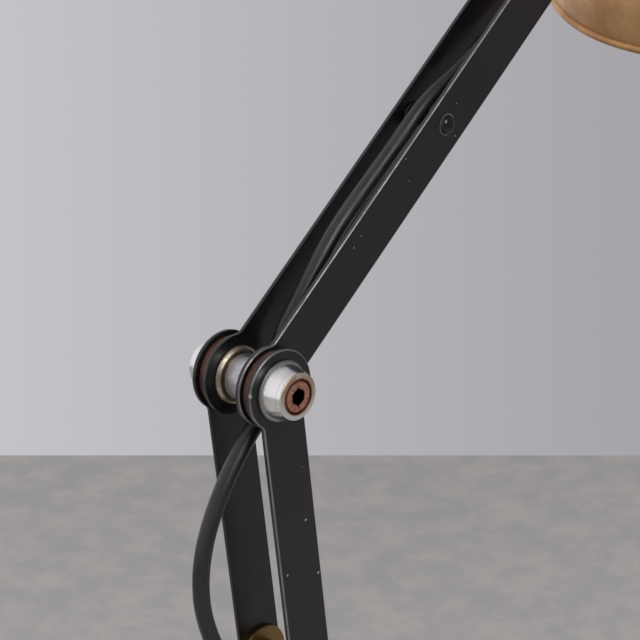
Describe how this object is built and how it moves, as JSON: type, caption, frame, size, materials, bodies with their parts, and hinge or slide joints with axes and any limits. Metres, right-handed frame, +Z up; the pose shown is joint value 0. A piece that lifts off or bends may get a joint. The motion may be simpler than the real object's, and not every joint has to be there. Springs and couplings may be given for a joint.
{
  "type": "accordion desk lamp",
  "caption": "Folding two-arm desk lamp of paired flat bars on a weighted swivel base, with a tilting spun dome shade and a flex through the arms.",
  "frame": {"origin": "centre of the base's underside, where the lamp stands on the table", "axes": "+Z up, +X the way the upper arm leans at rest, Y along the arm joints, with the near side at -Y"},
  "size_m": [0.393, 0.286, 0.5795],
  "materials": {
    "bar_enamel": "black satin enamel, worn bright along the edges",
    "base_enamel": "black satin enamel",
    "cap_enamel": "black satin enamel",
    "rivet_enamel": "black gloss enamel",
    "spacer_enamel": "black satin enamel",
    "turned_aluminium": "turned, lightly stained",
    "fibre_washer": "reddish-brown vulcanised fibre",
    "rusty_screw": "rusted steel socket screw",
    "zinc_steel": "zinc plated",
    "spacer_brass": "dulled brass",
    "shade_brass": "spun, golden-brown lacquer outside, white inside",
    "bulb_brass": "rolled thread",
    "pin_brass": "nickel plated brass",
    "bulb_glass": "opal glass",
    "switch_chrome": "bright plated",
    "black_plastic": "moulded phenolic",
    "flex_rubber": "round rubber flex, semi-gloss, dusty",
    "cast_weight": "raw casting",
    "felt_pad": "pressed felt"
  },
  "bodies": {
    "base": {"base_cover": "base_enamel", "base_weight": "cast_weight", "base_pad": "felt_pad", "swivel_collar": "turned_aluminium", "switch_bush": "switch_chrome", "switch_body": "black_plastic", "lead_gland": "flex_rubber", "lead_run": "flex_rubber", "lead_coil": "flex_rubber", "lead_tail": "flex_rubber", "plug_body": "black_plastic", "plug_pins": "pin_brass"},
    "switch": {"switch_button": "black_plastic"},
    "swivel": {"swivel_post": "turned_aluminium", "swivel_ear_far": "bar_enamel", "swivel_ear_near": "bar_enamel", "swivel_ear_rivets": "rivet_enamel", "swivel_spring_washer": "zinc_steel", "swivel_nut": "zinc_steel", "flex_in_post": "flex_rubber", "flex_shoulder": "flex_rubber"},
    "lower_arm": {"shoulder_spool": "turned_aluminium", "shoulder_washer_far": "fibre_washer", "shoulder_washer_near": "fibre_washer", "shoulder_cone_far": "turned_aluminium", "shoulder_cone_near": "turned_aluminium", "shoulder_screws": "rusty_screw", "lower_arm_bar_far": "bar_enamel", "lower_arm_bar_near": "bar_enamel", "lower_arm_spacer_1": "spacer_brass", "lower_arm_spacer_2": "spacer_brass", "lower_arm_rivets": "rivet_enamel", "elbow_spool": "turned_aluminium", "elbow_washer_far": "fibre_washer", "elbow_washer_near": "fibre_washer", "elbow_cone_far": "turned_aluminium", "elbow_cone_near": "turned_aluminium", "elbow_screws": "rusty_screw", "flex_lower_arm": "flex_rubber", "flex_elbow": "flex_rubber"},
    "upper_arm": {"upper_arm_bar_far": "bar_enamel", "upper_arm_bar_near": "bar_enamel", "upper_arm_spacer_1": "spacer_enamel", "upper_arm_spacer_2": "spacer_enamel", "upper_arm_rivets": "rivet_enamel", "flex_upper_arm": "flex_rubber"},
    "head": {"head_lug": "turned_aluminium", "head_washers": "fibre_washer", "head_cone_far": "turned_aluminium", "head_cone_near": "turned_aluminium", "head_screws": "rusty_screw", "head_cap": "cap_enamel", "head_grommet": "flex_rubber", "head_cap_nut": "zinc_steel", "lampholder": "black_plastic", "shade_ring": "black_plastic", "shade": "shade_brass", "bulb_glass": "bulb_glass", "bulb_cap": "bulb_brass", "flex_head": "flex_rubber"}
  },
  "joints": [
    {"name": "base_swivel", "type": "hinge", "parent": "base", "child": "swivel", "pos_m": [0, 0, 0.024], "axis": [0, 0, 1], "range_deg": [-170, 170]},
    {"name": "shoulder", "type": "hinge", "parent": "swivel", "child": "lower_arm", "pos_m": [0, 0, 0.074], "axis": [0, -1, 0], "range_deg": [-40, 40], "deforming": ["flex_shoulder"]},
    {"name": "elbow", "type": "hinge", "parent": "lower_arm", "child": "upper_arm", "pos_m": [-0.03911, 0, 0.37144], "axis": [0, -1, 0], "range_deg": [-70, 50], "deforming": ["flex_elbow"]},
    {"name": "head_tilt", "type": "hinge", "parent": "upper_arm", "child": "head", "pos_m": [0.18779, 0, 0.5677], "axis": [0, -1, 0], "range_deg": [-15, 60], "deforming": ["flex_head"]},
    {"name": "switch_press", "type": "slide", "parent": "base", "child": "switch", "axis": [0, 0, -1], "range_m": [0, 0.002], "stiffness_N_per_m": 500, "springref_m": -0.002}
  ]
}
